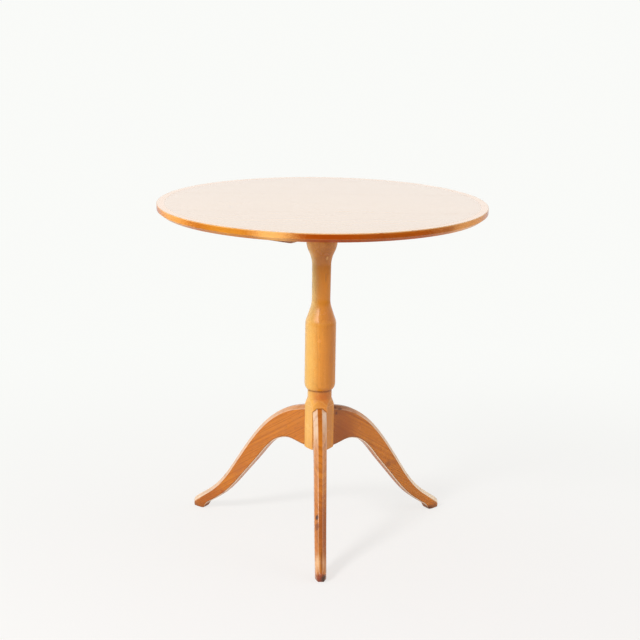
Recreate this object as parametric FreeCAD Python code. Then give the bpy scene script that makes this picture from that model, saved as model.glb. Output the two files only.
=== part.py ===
import FreeCAD, Part
import math
import os

from FreeCAD import Vector

# Round tripod table, millimetres. The origin is on the floor under the column's axis,
# +Z points up and the front leg points along -Y.

# Top panel
top_diameter = 620.0
top_thickness = 17.0
veneer_thickness = 0.8
leaf_count = 3
lipping_width = 14.0
lipping_count = 4
arris_radius = 1.2
edge_band_height = 10.5
edge_bevel_inset = 8.5

# Crossed bearers under the top
bearer_length = 294.0
bearer_width = 66.0
bearer_thickness = 34.0
bearer_azimuth = 234.0
bearer_corner_radius = 4.0

# Slotted countersunk wood screws through the bearers
screw_shank_radius = 2.2
screw_head_radius = 4.3
screw_head_height = 2.6
screw_tip_height = 4.4
screw_tip_cover = 4.4
screw_slot_width = 1.0
screw_slot_depth = 1.2
screw_crossing_margin = 29.0
screw_end_margin = 35.0

# Tenon on the column's head and the wedge that spreads it
tenon_radius = 17.0
wedge_depth = 27.0
wedge_top_thickness = 4.0
wedge_tip_thickness = 1.2

# Turned column, from the head down to the collar
head_radius = 30.0
head_height = 18.0
flare_height = 49.0
neck_top_radius = 18.3
neck_bottom_radius = 17.6
neck_height = 74.5
cone_height = 35.0
barrel_radius = 29.5
shoulder_round = 4.0
barrel_height = 119.5
barrel_foot_height = 13.5
groove_depth = 0.9
groove_height = 1.5
collar_radius = 23.2
collar_height = 15.0

# Hexagonal hub, whose faces are a little wider and taller than the legs' roots
hub_face_count = 6
hub_face_margin = 1.1
hub_top_margin = 4.0
hub_bottom_height = 168.5
hub_shoulder_height = 14.0
hub_corner_ease = 1.5

# Legs
leg_azimuths = {"front": -90.0, "right": 30.0, "left": 150.0}
leg_reach = 284.0
leg_root_height = 80.5
leg_root_lift = 1.0
leg_root_thickness = 26.0
leg_toe_thickness = 20.0
upper_chamfer_depth = 6.5
upper_chamfer_width = 8.0
lower_chamfer = 2.5
toe_height = 20.5
toe_set_back = 5.5
pad_set_back = 4.0
pad_length = 23.0
heel_height = 10.5
heel_slope = 6.5

# Upper and lower edges of a leg. Each pair is a share of the way from root to toe
# and a share of the height of the root's top or bottom.
leg_upper_shares = [(0.137, 0.965), (0.291, 0.875), (0.464, 0.686), (0.638, 0.423), (0.792, 0.22)]
leg_lower_shares = [(0.06, 1.0236), (0.137, 1.055), (0.245, 1.0165), (0.387, 0.798), (0.5415, 0.5145),
                    (0.6955, 0.2543)]

# Dowels between legs and hub
dowel_radius = 5.0
dowel_leg_depth = 24.0
dowel_tip_gap = 3.0
dowel_height_shares = (0.33, 0.7)

# Cutters run past the faces that they cut by this much, and a chamfer's cutter has this many sections
overrun = 2.0
chamfer_stations = 14

# Heights above the floor, stacked from the hub up to the table's top
leg_root_bottom = hub_bottom_height + leg_root_lift
leg_root_top = leg_root_bottom + leg_root_height
hub_shoulder_bottom = leg_root_top + hub_top_margin
hub_shoulder_top = hub_shoulder_bottom + hub_shoulder_height
collar_top = hub_shoulder_top + collar_height
groove_top = collar_top + groove_height
barrel_bottom = groove_top + barrel_foot_height
barrel_top = barrel_bottom + barrel_height
cone_top = barrel_top + cone_height
neck_top = cone_top + neck_height
head_bottom = neck_top + flare_height
bearer_bottom = head_bottom + head_height
underside_height = bearer_bottom + bearer_thickness
core_bottom = underside_height + veneer_thickness
table_height = underside_height + top_thickness
core_top = table_height - veneer_thickness

top_radius = top_diameter / 2
core_radius = top_radius - lipping_width
hub_apothem = (leg_root_thickness / 2 + hub_face_margin) / math.tan(math.pi / hub_face_count)
hub_corner_radius = hub_apothem / math.cos(math.pi / hub_face_count)
leg_span = leg_reach - hub_apothem
up = Vector(0, 0, 1)
axis_foot = Vector(0, 0, 0)


def profile_point(radius, height):
    return Vector(radius, 0, height)


def line(start, end):
    return Part.LineSegment(start, end).toShape()


def arc(start, middle, end):
    return Part.Arc(start, middle, end).toShape()


def spline(points):
    curve = Part.BSplineCurve()
    curve.interpolate(points)
    return curve


def turned(edges):
    return Part.Face(Part.Wire(edges)).revolve(axis_foot, up, 360)


def turn(shape, azimuth):
    shape.rotate(axis_foot, up, azimuth)
    return shape


def save(name, shape):
    shape.exportStep("parts/" + name + ".step")


# A point on a quarter round that bulges towards its corner, halfway along it.
def quarter_middle(start, end, corner):
    half = math.sqrt(0.5)
    return corner + (start - corner + end - corner) * (1 - half)


# The two arcs of an ogee between two upright ends meet at its middle and are mirror images,
# so each arc's own middle point follows from its chord and its upright tangent.
def ogee(lower, upper):
    middle = (lower + upper) * 0.5
    chord_angle = math.atan2(middle.x - lower.x, middle.z - lower.z)
    sagitta = lower.distanceToPoint(middle) / 2 * math.tan(chord_angle / 2)
    bulge = Vector(math.cos(chord_angle), 0, -math.sin(chord_angle)) * sagitta
    lower_mid = (lower + middle) * 0.5 - bulge
    upper_mid = (middle + upper) * 0.5 + bulge
    return [arc(lower, lower_mid, middle), arc(middle, upper_mid, upper)]


# Round blank of the top. Its rim has an eased upper arris, a straight band and a bevel under it.
def top_blank():
    band_bottom = table_height - edge_band_height
    arris_start = profile_point(top_radius - arris_radius, table_height)
    arris_end = profile_point(top_radius, table_height - arris_radius)
    corner = profile_point(top_radius, table_height)
    bevel_top = profile_point(top_radius, band_bottom)
    bevel_bottom = profile_point(top_radius - edge_bevel_inset, underside_height)
    centre_top = profile_point(0, table_height)
    centre_bottom = profile_point(0, underside_height)
    return turned([
        line(centre_bottom, bevel_bottom),
        line(bevel_bottom, bevel_top),
        line(bevel_top, arris_end),
        arc(arris_end, quarter_middle(arris_start, arris_end, corner), arris_start),
        line(arris_start, centre_top),
        line(centre_top, centre_bottom),
    ])


def slab(bottom, thickness, radius):
    return Part.makeCylinder(radius, thickness, Vector(0, 0, bottom))


def lipping_length(ring, number):
    sweep = 360.0 / lipping_count
    outer = top_radius + overrun
    sector = Part.makeCylinder(outer, table_height, axis_foot, up, sweep)
    return ring.common(turn(sector, (number + 0.5) * sweep))


def leaf(sheet, number):
    width = 2 * core_radius / leaf_count
    strip = Part.makeBox(top_diameter, width, table_height,
                         Vector(-top_radius, number * width - core_radius, 0))
    return sheet.common(strip)


def screw_places():
    places = []
    for bar_turn in (0, 90):
        for offset in (bearer_width / 2 + screw_crossing_margin, bearer_length / 2 - screw_end_margin):
            for side in (-1, 1):
                angle = math.radians(bearer_azimuth + bar_turn)
                places.append(Vector(math.cos(angle), math.sin(angle), 0) * (offset * side))
    return places


def screw(place):
    seat = place + up * bearer_bottom
    straight = core_top - screw_tip_cover - bearer_bottom - screw_tip_height
    head = Part.makeCone(screw_head_radius, screw_shank_radius, screw_head_height, seat)
    shank = Part.makeCylinder(screw_shank_radius, straight, seat)
    tip = Part.makeCone(screw_shank_radius, 0, screw_tip_height, seat + up * straight)
    return head.fuse(shank).fuse(tip).removeSplitter()


def slotted(body, place):
    slot = Part.makeBox(screw_head_radius * 2, screw_slot_width, screw_slot_depth,
                        Vector(-screw_head_radius, -screw_slot_width / 2, bearer_bottom))
    turn(slot, bearer_azimuth)
    slot.translate(place)
    return body.cut(slot)


# A bar with rounded ends in plan; its halving notch is as wide as the bar that crosses it.
def bearer(azimuth, notch_bottom):
    bar = Part.makeBox(bearer_length, bearer_width, bearer_thickness,
                       Vector(-bearer_length / 2, -bearer_width / 2, bearer_bottom))
    upright = [edge for edge in bar.Edges if abs(edge.tangentAt(edge.FirstParameter).z) > 0.9]
    bar = bar.makeFillet(bearer_corner_radius, upright)
    notch = Part.makeBox(bearer_width, bearer_width, bearer_thickness / 2,
                         Vector(-bearer_width / 2, -bearer_width / 2, notch_bottom))
    socket = slab(bearer_bottom, bearer_thickness, tenon_radius)
    return turn(bar.cut(notch).cut(socket), azimuth)


# The wedge tapers downwards and is trimmed to the tenon's round.
def tenon_wedge():
    tip = underside_height - wedge_depth
    top_corner = Vector(-tenon_radius, wedge_top_thickness / 2, underside_height)
    tip_corner = Vector(-tenon_radius, wedge_tip_thickness / 2, tip)
    across = Vector(0, -1, 0)
    corners = [top_corner, top_corner + across * wedge_top_thickness,
               tip_corner + across * wedge_tip_thickness, tip_corner]
    blade = Part.Face(Part.makePolygon(corners + corners[:1])).extrude(Vector(2 * tenon_radius, 0, 0))
    return turn(blade, bearer_azimuth).common(slab(tip, wedge_depth, tenon_radius))


# Turned part of the column, above the hub: tenon, head, flare, neck, cone, barrel and collar.
def turned_shaft():
    centre_top = profile_point(0, underside_height)
    centre_bottom = profile_point(0, hub_shoulder_top)
    collar_foot = profile_point(collar_radius, hub_shoulder_top)
    collar_head = profile_point(collar_radius, collar_top)
    groove_floor = profile_point(collar_radius - groove_depth, collar_top)
    foot_start = profile_point(collar_radius - groove_depth, groove_top)
    foot_end = profile_point(barrel_radius, barrel_bottom)
    foot_corner = profile_point(barrel_radius, groove_top)
    shoulder = profile_point(barrel_radius, barrel_top)
    cone_end = profile_point(neck_bottom_radius, cone_top)
    slope = (cone_end - shoulder).normalize()
    round_start = shoulder - up * shoulder_round
    round_end = shoulder + slope * shoulder_round
    round_middle = shoulder * 0.5 + (round_start + round_end) * 0.25
    neck_end = profile_point(neck_top_radius, neck_top)
    head_start = profile_point(head_radius, head_bottom)
    head_end = profile_point(head_radius, bearer_bottom)
    tenon_start = profile_point(tenon_radius, bearer_bottom)
    tenon_end = profile_point(tenon_radius, underside_height)
    return turned([
        line(centre_bottom, collar_foot),
        line(collar_foot, collar_head),
        line(collar_head, groove_floor),
        line(groove_floor, foot_start),
        arc(foot_start, quarter_middle(foot_start, foot_end, foot_corner), foot_end),
        line(foot_end, round_start),
        arc(round_start, round_middle, round_end),
        line(round_end, cone_end),
        line(cone_end, neck_end),
        *ogee(neck_end, head_start),
        line(head_start, head_end),
        line(head_end, tenon_start),
        line(tenon_start, tenon_end),
        line(tenon_end, centre_top),
        line(centre_top, centre_bottom),
    ])


# Hexagonal hub: its faces run out in arches where they meet the turned shoulder,
# and its corners are eased at the bottom.
def hub():
    step = 2 * math.pi / hub_face_count
    corners = [Vector(hub_corner_radius * math.cos(step * i), hub_corner_radius * math.sin(step * i),
                      hub_bottom_height) for i in range(hub_face_count + 1)]
    prism = Part.Face(Part.makePolygon(corners)).extrude(up * (hub_shoulder_top - hub_bottom_height))
    ease_radius = hub_corner_radius - hub_corner_ease
    outline = [
        profile_point(0, hub_bottom_height),
        profile_point(ease_radius, hub_bottom_height),
        profile_point(hub_corner_radius, hub_bottom_height + hub_corner_ease),
        profile_point(hub_corner_radius, hub_shoulder_bottom),
        profile_point(collar_radius, hub_shoulder_top),
        profile_point(0, hub_shoulder_top),
    ]
    edges = [line(a, b) for a, b in zip(outline, outline[1:] + outline[:1])]
    return prism.common(turned(edges))


def column(wedge, dowel_sets):
    body = turned_shaft().fuse(hub()).removeSplitter().cut(wedge)
    for dowels in dowel_sets:
        body = body.cut(dowels)
    return body


def edge_curve(root_height, shares, end):
    points = [profile_point(hub_apothem, root_height)]
    for reach_share, height_share in shares:
        points.append(profile_point(hub_apothem + leg_span * reach_share, root_height * height_share))
    return spline(points + [end])


def upper_edge():
    return edge_curve(leg_root_top, leg_upper_shares, profile_point(leg_reach - toe_set_back, toe_height))


def lower_edge():
    heel_top = profile_point(leg_reach - pad_set_back - pad_length - heel_slope, heel_height)
    return edge_curve(leg_root_bottom, leg_lower_shares, heel_top)


# Side outline of a leg, sawn from a board, in the plane of the leg.
def leg_outline():
    upper = upper_edge().toShape()
    lower = lower_edge().toShape()
    root_top = upper.Vertexes[0].Point
    root_bottom = lower.Vertexes[0].Point
    toe_top = upper.Vertexes[-1].Point
    heel_top = lower.Vertexes[-1].Point
    heel = profile_point(leg_reach - pad_set_back - pad_length, 0)
    toe_bottom = profile_point(leg_reach - pad_set_back, 0)
    toe_tip = profile_point(leg_reach, toe_height / 2)
    return Part.Wire([
        line(root_bottom, root_top),
        upper,
        arc(toe_top, toe_tip, toe_bottom),
        line(toe_bottom, heel),
        line(heel, heel_top),
        lower,
    ])


def thickness_at(radius):
    share = (radius - hub_apothem) / leg_span
    return leg_root_thickness + (leg_toe_thickness - leg_root_thickness) * share


# Plan of the board: thick at the root, thinner at the toe.
def tapered_board():
    corners = [Vector(radius, side * thickness_at(radius) / 2, 0)
               for radius, side in ((hub_apothem, 1), (leg_reach, 1), (leg_reach, -1), (hub_apothem, -1))]
    return Part.Face(Part.makePolygon(corners + corners[:1])).extrude(up * (leg_root_top + overrun))


# Cutter for one chamfer along a long edge: a triangular bar that follows the edge and runs
# past its ends. Outwards is 1 for an upper edge and -1 for a lower one.
def chamfer_cutter(curve, outwards, side, width, depth):
    first = curve.FirstParameter
    last = curve.LastParameter
    slack = overrun * depth / width
    sections = []
    for i in range(-1, chamfer_stations + 2):
        at = first + (last - first) * min(max(i / chamfer_stations, 0), 1)
        tangent = curve.tangent(at)[0]
        beyond = (i > chamfer_stations) - (i < 0)
        on_edge = curve.value(at) + tangent * (overrun * beyond)
        out = Vector(-tangent.z, 0, tangent.x) * outwards
        half = thickness_at(on_edge.x) / 2
        inner = on_edge + out * slack + Vector(0, side * (half - width - overrun), 0)
        outer = on_edge + out * slack + Vector(0, side * (half + overrun), 0)
        buried = on_edge - out * (depth + slack) + Vector(0, side * (half + overrun), 0)
        sections.append(Part.makePolygon([inner, outer, buried, inner]))
    return Part.makeLoft(sections, True, False)


def dowel_pair():
    tip = dowel_radius / math.tan(math.pi / len(leg_azimuths)) + dowel_tip_gap
    length = hub_apothem + dowel_leg_depth - tip
    heights = [leg_root_bottom + leg_root_height * share for share in dowel_height_shares]
    return [Part.makeCylinder(dowel_radius, length, profile_point(tip, height), Vector(1, 0, 0))
            for height in heights]


def leg(dowels):
    board = Part.Face(leg_outline()).extrude(Vector(0, leg_root_thickness, 0))
    board.translate(Vector(0, -leg_root_thickness / 2, 0))
    body = board.common(tapered_board())
    for side in (-1, 1):
        body = body.cut(chamfer_cutter(upper_edge(), 1, side, upper_chamfer_width, upper_chamfer_depth))
        body = body.cut(chamfer_cutter(lower_edge(), -1, side, lower_chamfer, lower_chamfer))
    return body.cut(dowels)


os.makedirs("parts", exist_ok=True)

wedge = tenon_wedge()
save("tenon_wedge", wedge)

dowel_sets = []
for name, azimuth in leg_azimuths.items():
    dowels = Part.makeCompound(dowel_pair())
    save("leg_" + name, turn(leg(dowels), azimuth))
    save("leg_dowels_" + name, turn(dowels, azimuth))
    dowel_sets.append(dowels)
save("column", column(wedge, dowel_sets))

screws = [screw(place) for place in screw_places()]
save("bearer_screws", Part.makeCompound([slotted(s, place) for s, place in zip(screws, screw_places())]))
screw_holes = Part.makeCompound(screws)
half_depth = bearer_thickness / 2
save("bearer_lower", bearer(bearer_azimuth, bearer_bottom + half_depth).cut(screw_holes))
save("bearer_upper", bearer(bearer_azimuth + 90, bearer_bottom).cut(screw_holes))

ring = top_blank().cut(slab(underside_height, top_thickness, core_radius))
for number in range(lipping_count):
    save("edge_lipping_%d" % (number + 1), lipping_length(ring, number))
save("top_core", slab(core_bottom, core_top - core_bottom, core_radius).cut(screw_holes))
face_sheet = slab(core_top, veneer_thickness, core_radius)
back_sheet = slab(underside_height, veneer_thickness, core_radius).cut(screw_holes)
for number in range(leaf_count):
    save("face_veneer_%d" % (number + 1), leaf(face_sheet, number))
    save("back_veneer_%d" % (number + 1), leaf(back_sheet, number))
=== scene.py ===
import math

import bpy
import numpy as np
from mathutils import Matrix, Vector


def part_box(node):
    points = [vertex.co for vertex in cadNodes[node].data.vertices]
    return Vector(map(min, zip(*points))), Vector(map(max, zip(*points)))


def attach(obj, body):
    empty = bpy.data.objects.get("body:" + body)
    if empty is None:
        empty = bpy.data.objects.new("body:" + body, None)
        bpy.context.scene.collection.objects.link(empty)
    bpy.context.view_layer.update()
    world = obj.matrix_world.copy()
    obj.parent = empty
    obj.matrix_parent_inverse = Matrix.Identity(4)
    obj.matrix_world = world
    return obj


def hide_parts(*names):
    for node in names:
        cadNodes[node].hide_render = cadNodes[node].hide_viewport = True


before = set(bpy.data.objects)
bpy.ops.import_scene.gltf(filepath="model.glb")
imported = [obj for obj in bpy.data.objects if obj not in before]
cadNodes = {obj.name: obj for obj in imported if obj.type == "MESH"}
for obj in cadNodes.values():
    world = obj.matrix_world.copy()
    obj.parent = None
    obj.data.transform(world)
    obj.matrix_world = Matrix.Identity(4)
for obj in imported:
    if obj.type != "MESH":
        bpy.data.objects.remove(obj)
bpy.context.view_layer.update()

scene = bpy.context.scene
print("frame loaded:", len(cadNodes), "nodes")


# Mesh helpers

def gridQuads(rows, columns):
    # four corners per cell of a grid whose columns close into a ring
    start = np.arange(rows - 1)[:, None] * columns
    here = np.arange(columns)[None, :]
    after = (here + 1) % columns
    cells = [start + here, start + after, start + columns + after, start + columns + here]
    return np.stack(cells, -1).reshape(-1, 4)


def signedVolume(points, faces):
    # a sixth of the sum of corner triple products over each cell's two triangles
    a, b, c, d = (points[faces[:, k]] for k in range(4))
    return (np.cross(a, b) * c + np.cross(a, c) * d).sum() / 6


def putAttribute(mesh, name, kind, values):
    layer = mesh.attributes.new(name, kind, "POINT")
    field = "vector" if kind == "FLOAT_VECTOR" else "value"
    layer.data.foreach_set(field, np.ascontiguousarray(values, np.float32).ravel())


# A closed piece from rings of points, with a flat cap on its first and last ring.
# grain holds each point's place in the board, along the fibres first.
# edge is 1 on worn arrises, which on the legs and rim are also a painted highlight, and below 0 where grime
# and painted shade sit.
# fibres is the direction of the grain, and end grain is where the surface faces along it.
def makePiece(name, rings, grain, edge, fibres, smooth=True):
    rows, columns = rings.shape[:2]
    points = rings.reshape(-1, 3)
    faces = gridQuads(rows, columns)
    caps = np.stack([np.arange(columns)[::-1], np.arange(columns) + (rows - 1) * columns])
    if signedVolume(points, faces) < 0:
        faces, caps = faces[:, ::-1], caps[:, ::-1]
    mesh = bpy.data.meshes.new(name)
    mesh.from_pydata(points.tolist(), [], faces.tolist() + caps.tolist())
    shaded = np.full(len(mesh.polygons), smooth)
    shaded[-2:] = False
    mesh.polygons.foreach_set("use_smooth", shaded)
    ends = np.zeros(len(mesh.edges) * 2, np.int32)
    mesh.edges.foreach_get("vertices", ends)
    rowOf = ends.reshape(-1, 2) // columns
    crease = (rowOf[:, 0] == rowOf[:, 1]) & ((rowOf[:, 0] == 0) | (rowOf[:, 0] == rows - 1))
    mesh.edges.foreach_set("use_edge_sharp", crease)
    mesh.update()
    normals = np.zeros(points.size, np.float32)
    mesh.vertex_normals.foreach_get("vector", normals)
    normals = normals.reshape(rings.shape)
    if rows > 3:
        normals[0], normals[-1] = normals[1], normals[-2]
    putAttribute(mesh, "grain", "FLOAT_VECTOR", grain)
    putAttribute(mesh, "edge", "FLOAT", np.broadcast_to(edge, rings.shape[:2]))
    putAttribute(mesh, "endGrain", "FLOAT", np.abs((normals * fibres).sum(-1)))
    putAttribute(mesh, "upward", "FLOAT", normals[..., 2])
    piece = bpy.data.objects.new(name, mesh)
    scene.collection.objects.link(piece)
    return piece


def unit(vectors):
    return vectors / np.maximum(np.linalg.norm(vectors, axis=-1, keepdims=True), 1e-12)


# Rounds the corners of many outlines at once: each corner gives way to a parabola that leaves
# its two sides one ease away, and a support point follows further along each side.
def easedCorners(corners, ease, steps, support, closed=True):
    before = np.roll(corners, 1, -2) - corners
    after = np.roll(corners, -1, -2) - corners
    ease = np.broadcast_to(ease, corners.shape[:-1])[..., None]
    if not closed:
        ease = ease.copy()
        ease[..., [0, -1], :] = 0
    toBefore, toAfter = unit(before), unit(after)
    share = np.linspace(0, 1, steps)[:, None]
    start, end = corners + toBefore * ease, corners + toAfter * ease
    arcs = ((1 - share) ** 2 * start[..., None, :] + 2 * share * (1 - share) * corners[..., None, :]
            + share ** 2 * end[..., None, :])
    held = np.where(ease > 0, support, 0)
    ahead = (start + toBefore * held)[..., None, :]
    behind = (end + toAfter * held)[..., None, :]
    rounded = np.concatenate([ahead, arcs, behind], -2)
    wear = np.concatenate([[0], np.sin(np.pi * share[:, 0]) ** 0.5, [0]])
    wear = np.broadcast_to(wear, rounded.shape[:-1])
    merged = corners.shape[:-2] + (-1,)
    return rounded.reshape(merged + (corners.shape[-1],)), wear.reshape(merged)


# A path filled in so that its neighbours are about the spacing apart, measured on its first two columns.
# Points closer than the same length are one point, and no new point crowds an old one.
def densePath(path, spacing, same=1e-7, crowded=0.3):
    step = np.linalg.norm(np.diff(path[:, :2], axis=0), axis=1)
    path = path[np.concatenate([[True], step > same])]
    place = np.concatenate([[0], np.cumsum(step[step > same])])
    wanted = np.union1d(place, np.arange(0, place[-1], spacing))
    near = np.abs(wanted[:, None] - place[None, :]).min(1)
    wanted = wanted[(near == 0) | (near > spacing * crowded)]
    return np.stack([np.interp(wanted, place, path[:, k]) for k in range(path.shape[1])], 1)


# Top: face and back leaves, and the lipping round the core

topShape = {
    "radius": 0.310,
    "lippingWidth": 0.014,
    "veneer": 0.0008,
    "arris": 0.0012,
    "bandHeight": 0.0105,
    "bevelInset": 0.0085,
    "softCorner": 0.0005,
    "hiddenCorner": 0.00015,
    # wear on the section's corners; the pale top arris is worn finish with a painted highlight
    "cornerWear": (0, 0.5, 0.3, 1, 0),
    "cornerSteps": 7,
    "support": 0.0006,
    "jointEase": 0.0003,
    "jointDrop": 0.3,
    "leafCount": 3,
    "leafShift": [(0.0, 0.31, 0.0), (0.7, 0.05, 0.02), (1.3, 0.42, 0.01)],
    "arcSteps": 97,
    "lippingTurns": [0.5, 1.0, 1.5, 0.0],
    "lippingShift": (1.7, 0.0, 0.3),
    "lippingSteps": 81,
}
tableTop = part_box("face_veneer_2")[1].z
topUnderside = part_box("back_veneer_2")[0].z
coreRadius = topShape["radius"] - topShape["lippingWidth"]


# Outline of a leaf: the part of a circle between two straight seams, as an arc of x = +-sqrt(r2 - y2)
# on each side, with the points spread by angle.
def leafOutline(radius, low, high):
    ends = math.asin(max(low / radius, -1)), math.asin(min(high / radius, 1))
    turn = np.linspace(*ends, topShape["arcSteps"])
    right = np.stack([radius * np.cos(turn), radius * np.sin(turn)], 1)
    left = right[::-1] * [-1, 1]
    if high >= radius:
        left = left[1:]
    if low <= -radius:
        left = left[:-1]
    return np.concatenate([right, left])


# A leaf is its outline carried up through the veneer, with a hair-thin eased edge on its shown face.
def makeLeaf(name, number, inner, outer, shift):
    width = 2 * coreRadius / topShape["leafCount"]
    low = number * width - coreRadius
    ease = topShape["jointEase"]
    eased = 1 - ease / width
    middle = np.array([0, low + width / 2])
    outline = leafOutline(coreRadius, low, low + width)
    shown = (outline - middle) * [1 - ease / coreRadius, eased] + middle
    drop = ease * topShape["jointDrop"] * np.sign(outer - inner)
    heights = [inner, outer - drop, outer]
    rings = np.stack([np.column_stack([flat, np.full(len(flat), z)])
                      for flat, z in zip([outline, outline, shown], heights)])
    edge = np.array([[1.0], [1.0], [0.0]])
    return makePiece(name, rings, rings + shift, edge, (1, 0, 0), smooth=False)


# A lipping length is the rim's section swept through its quarter turn about the table's axis.
def makeLipping(name, middleTurn, shift):
    rim, band = topShape["radius"], tableTop - topShape["bandHeight"]
    hidden, soft = topShape["hiddenCorner"], topShape["softCorner"]
    section = np.array([
        [coreRadius, topUnderside], [rim - topShape["bevelInset"], topUnderside], [rim, band],
        [rim, tableTop], [coreRadius, tableTop]])
    ease = np.array([hidden, soft, soft, topShape["arris"], hidden])
    outline, wear = easedCorners(section, ease, topShape["cornerSteps"], topShape["support"])
    wear = wear.reshape(len(section), -1) * np.array(topShape["cornerWear"])[:, None]
    # the top arris rubbed pale all along: worn finish and a painted highlight
    topArris = topShape["cornerWear"].index(1)
    wear[topArris, 1:-1] = 1
    quarter = np.linspace(-1, 1, topShape["lippingSteps"]) * math.pi / len(topShape["lippingTurns"])
    turn = middleTurn + quarter
    radius = outline[None, :, 0]
    height = np.broadcast_to(outline[None, :, 1], (len(turn), len(outline)))
    cosTurn, sinTurn = np.cos(turn)[:, None], np.sin(turn)[:, None]
    rings = np.stack([radius * cosTurn, radius * sinTurn, height], -1)
    along = np.broadcast_to((turn * rim)[:, None], height.shape)
    grain = np.stack([along, np.broadcast_to(radius, height.shape), height], -1) + shift
    fibres = np.stack([-sinTurn, cosTurn, 0 * cosTurn], -1)
    return makePiece(name, rings, grain, wear.reshape(1, -1), fibres)


faceLeaves, backLeaves, lippings = [], [], []
faceBed, backBed = tableTop - topShape["veneer"], topUnderside + topShape["veneer"]
shifts = topShape["leafShift"]
for count in range(topShape["leafCount"]):
    faceLeaves.append(makeLeaf(f"faceLeaf{count + 1}", count, faceBed, tableTop, shifts[count]))
    backLeaves.append(makeLeaf(f"backLeaf{count + 1}", count, backBed, topUnderside, shifts[-1 - count]))
for count, halfTurns in enumerate(topShape["lippingTurns"]):
    shift = np.array(topShape["lippingShift"]) * count
    lippings.append(makeLipping(f"lipping{count + 1}", halfTurns * math.pi, shift))
print("top made:", len(faceLeaves), "face,", len(backLeaves), "back leaves,", len(lippings), "lippings")


# Column and the legs at its foot

legShape = {
    "turns": {"Front": -90.0, "Right": 30.0, "Left": 150.0},
    "upper": [(0.02442, 0.250), (0.060, 0.2413), (0.100, 0.2188), (0.145, 0.1715),
              (0.190, 0.1058), (0.230, 0.055), (0.2785, 0.0205)],
    "lower": [(0.02442, 0.1695), (0.040, 0.1735), (0.060, 0.1788), (0.088, 0.1723), (0.125, 0.1353),
              (0.165, 0.0872), (0.205, 0.0431), (0.2505, 0.0105)],
    "reach": 0.284,
    "heel": 0.257,
    "padEnd": 0.280,
    "rootHalf": 0.013,
    "toeHalf": 0.010,
    "upperChamferDepth": 0.0065,
    "upperChamferWidth": 0.008,
    "chamferEnd": 0.12,
    "chamferFade": 0.107,
    "chamferPower": 0.7,
    "chamferShare": 0.62,
    "lowerChamfer": 0.0025,
    "lowerPlaces": (0.80, 0.82, 0.90),
    "lowerShares": (1, 0.35, 0.5),
    "cutShare": 0.3,
    "arrisEase": 0.0013,
    "arrisPlaces": (0.82, 0.90),
    "arrisGrowth": (1, 3),
    "arrisShare": (0.3, 0.36),
    "arrisSteps": 5,
    "support": 0.0009,
    "supportShare": 0.1,
    "runStations": 84,
    "curveSamples": 60,
    "toeStations": 17,
    "toeLength": 0.12,
    "toeTurn": 0.97,
    "knuckleStart": 0.030,
    "knuckleBlend": 0.015,
    "toeSmoothing": 14,
    "footPlaces": (0.80, 0.845, 0.893, 1.0),
    "padMiddle": 0.45,
    "padInset": 0.0005,
    "toeRound": 0.019,
    "toeNarrow": 0.85,
    "toeLift": 0.010,
    "toeTuck": 0.8,
    "grainSlope": 0.62,
    "grainShift": (1.3, 0.37, 0.0),
    "rubPlaces": (0, 0.18, 0.28, 0.6, 1),
    # the next two make the arrises pale: worn finish with a painted highlight
    "leastArrisRubAndHighlight": 0.15,
    "arrisRubAndHighlight": 1.2,
    # the lower chamfer made pale: a painted reflection of the floor
    "lowerPaintedReflection": 0.8,
    # a darker line on the lower arrises: grime and painted shade
    "lowerGrimeAndShade": -0.7,
}

# How pale a leg's right and left upper chamfers are at each of the places: finish rubbed off, with a painted
# highlight laid on the same way
legRubAndHighlight = {
    "Front": [(0.65, 0.32, 0.12, 0.0, 0.0), (0.60, 0.56, 0.14, 0.03, 0.06)],
    "Right": [(0.0, 0.25, 0.45, 0.70, 0.90)] * 2,
    "Left": [(0.15, 0.35, 0.45, 0.45, 0.60)] * 2,
}

columnShape = {
    "hubFaces": 6,
    "hubApothem": 0.02442,
    "hubCorner": 0.0282,
    "hubBevel": 0.0015,
    "hubFootEase": 0.0004,
    "hubTopEase": 0.0009,
    "hubFootWear": 0.5,
    "hubTopWear": 0.6,
    "capRadius": 0.004,
    "legRootTop": 0.250,
    "hubTop": 0.254,
    "shoulderTop": 0.268,
    "collarRadius": 0.0232,
    "collarTop": 0.283,
    "collarFootEase": 0.0005,
    "collarTopEase": 0.0003,
    "grooveEase": 0.0002,
    "grooveDepth": 0.0009,
    "grooveTop": 0.2845,
    "grooveShade": 0.55,
    "grooveReach": 0.0022,
    "barrelFoot": 0.298,
    "barrelRadius": 0.0295,
    "barrelTop": 0.4175,
    "shoulderRound": 0.004,
    "shoulderWear": 0.25,
    "neckLowRadius": 0.0176,
    "neckLow": 0.4525,
    "neckEase": 0.010,
    "neckTopRadius": 0.0183,
    "neckTop": 0.527,
    "headRadius": 0.030,
    "headLow": 0.576,
    "headEase": 0.0006,
    "headWear": 0.3,
    "tenonRadius": 0.017,
    "tenonFootEase": 0.0003,
    "tenonEndEase": 0.0004,
    "easeShare": 0.3,
    "easeSteps": 6,
    "support": 0.0008,
    "supportShare": 0.15,
    "softMin": 0.0012,
    "cornerWear": 0.6,
    "jointRows": 20,
    "jointBelow": 0.007,
    "jointAbove": 0.002,
    "jointMiddle": 0.0005,
    "jointWidth": 0.0009,
    "jointFade": (0.012, 0.004),
    "jointDarkAndShade": (0.5, 1.0),
    "jointLeast": 0.05,
    "curveSteps": 15,
    "turnSteps": 240,
    "spacing": 0.0022,
}


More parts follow.
